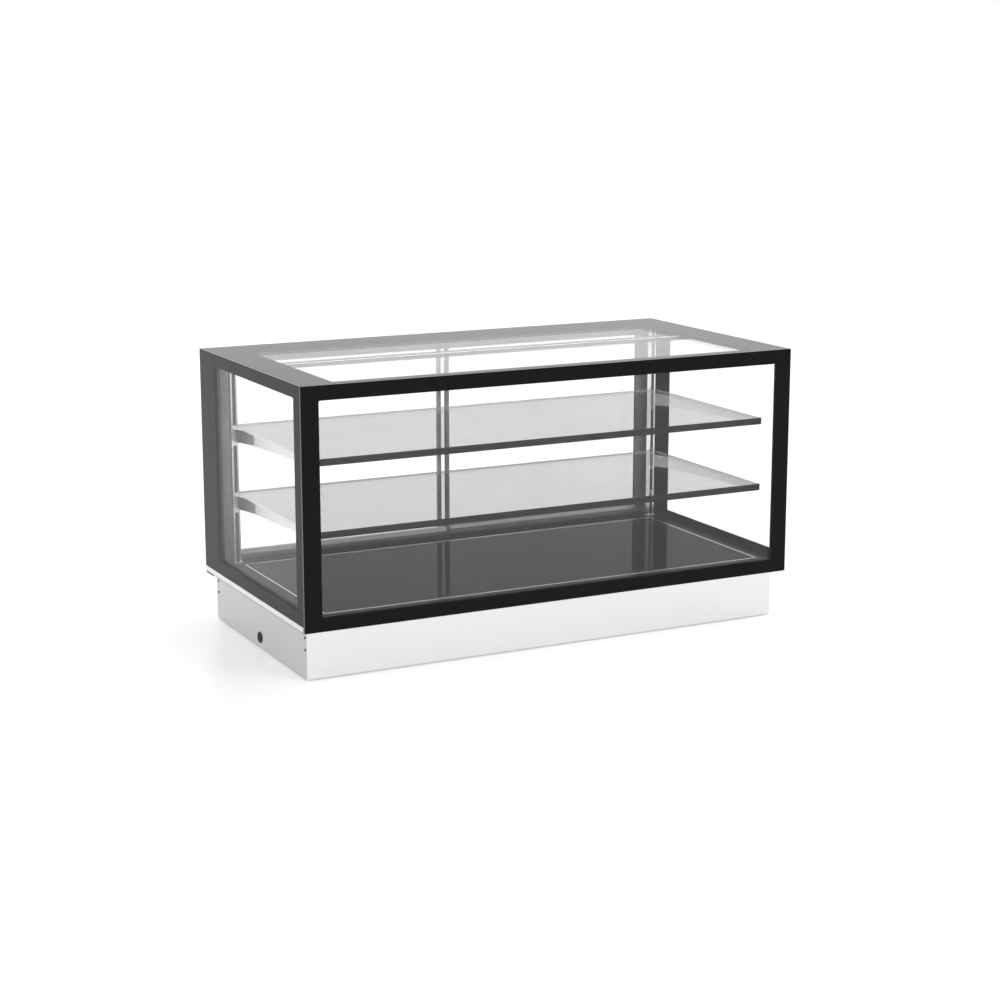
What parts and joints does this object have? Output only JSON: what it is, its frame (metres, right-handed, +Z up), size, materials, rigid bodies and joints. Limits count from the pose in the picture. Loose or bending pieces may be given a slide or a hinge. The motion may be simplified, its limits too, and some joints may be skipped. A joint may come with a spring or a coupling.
{
  "type": "hot food display case",
  "caption": "Counter-top heated glass display case with black-bordered panes, heated deck, lit glass shelves, sliding rear doors and a stainless plinth with rear controls.",
  "frame": {"origin": "on the table, under the middle of the case", "axes": "+X to the right and -Y towards the customer, +Z up"},
  "size_m": [1.35, 0.695, 0.713],
  "materials": {
    "clear_glass": "clear toughened float glass, polished edges",
    "black_enamel": "baked-on gloss black enamel band behind the glass",
    "black_deck": "gloss black enamelled steel",
    "brushed_steel": "brushed stainless sheet",
    "anodised": "satin anodised extrusion",
    "black_profile": "satin black anodised extrusion",
    "frosted_lens": "frosted light diffuser",
    "glass_ceramic": "gloss black glass-ceramic",
    "heater_foil": "heating mat in polyimide and foil",
    "mineral_wool": "mineral wool board",
    "rubber": "black rubber",
    "nylon": "natural nylon",
    "black_plastic": "fine-grained black plastic",
    "white_plastic": "cream switchgear plastic"
  },
  "bodies": {
    "root": {"front_glass": "clear_glass", "left_side_glass": "clear_glass", "right_side_glass": "clear_glass", "top_glass": "clear_glass", "front_border_band": "black_enamel", "left_border_band": "black_enamel", "right_border_band": "black_enamel", "top_border_band": "black_enamel", "rear_top_rail": "anodised", "rear_bottom_track": "anodised", "rear_left_post": "anodised", "rear_right_post": "anodised", "left_shelf_upright": "brushed_steel", "right_shelf_upright": "brushed_steel", "top_light_profile": "anodised", "top_light_lens": "frosted_lens", "base_flange": "brushed_steel", "deck_surround": "black_deck", "deck_trim_ring": "brushed_steel", "ceramic_deck": "glass_ceramic", "deck_heater": "heater_foil", "deck_insulation": "mineral_wool", "plinth_front_panel": "brushed_steel", "plinth_rear_panel": "brushed_steel", "plinth_left_panel": "brushed_steel", "plinth_right_panel": "brushed_steel", "base_pan": "brushed_steel", "rear_flange_rail": "black_plastic", "cable_gland": "rubber", "control_fascia": "black_plastic", "thermostat_body": "white_plastic", "switch_housing": "black_plastic", "terminal_block": "white_plastic", "upper_shelf_glass": "clear_glass", "upper_shelf_front_strip": "black_profile", "upper_shelf_light_lens": "frosted_lens", "upper_shelf_left_bracket": "brushed_steel", "upper_shelf_right_bracket": "brushed_steel", "lower_shelf_glass": "clear_glass", "lower_shelf_front_strip": "black_profile", "lower_shelf_light_lens": "frosted_lens", "lower_shelf_left_bracket": "brushed_steel", "lower_shelf_right_bracket": "brushed_steel", "front_left_foot": "rubber", "front_right_foot": "rubber", "rear_left_foot": "rubber", "rear_right_foot": "rubber"},
    "left_door": {"left_door_outer_stile": "anodised", "left_door_inner_stile": "anodised", "left_door_glass": "clear_glass", "left_door_glide_shoe": "nylon", "left_door_handle": "anodised"},
    "right_door": {"right_door_outer_stile": "anodised", "right_door_inner_stile": "anodised", "right_door_glass": "clear_glass", "right_door_glide_shoe": "nylon", "right_door_handle": "anodised"},
    "knob": {"thermostat_knob": "black_plastic"},
    "main_rocker": {"main_switch_rocker": "black_plastic"},
    "light_rocker": {"light_switch_rocker": "white_plastic"}
  },
  "joints": [
    {"name": "left_door_slide", "type": "slide", "parent": "root", "child": "left_door", "axis": [1, 0, 0], "range_m": [0, 0.59]},
    {"name": "right_door_slide", "type": "slide", "parent": "root", "child": "right_door", "axis": [1, 0, 0], "range_m": [-0.59, 0]},
    {"name": "thermostat_turn", "type": "hinge", "parent": "root", "child": "knob", "pos_m": [0.54, 0.33, 0.065], "axis": [0, -1, 0], "range_deg": [0, 270]},
    {"name": "main_switch_rock", "type": "hinge", "parent": "root", "child": "main_rocker", "pos_m": [0.423, 0.3228, 0.065], "axis": [1, 0, 0], "range_deg": [-14, 0]},
    {"name": "light_switch_rock", "type": "hinge", "parent": "root", "child": "light_rocker", "pos_m": [0.397, 0.3228, 0.065], "axis": [1, 0, 0], "range_deg": [-14, 0]}
  ]
}
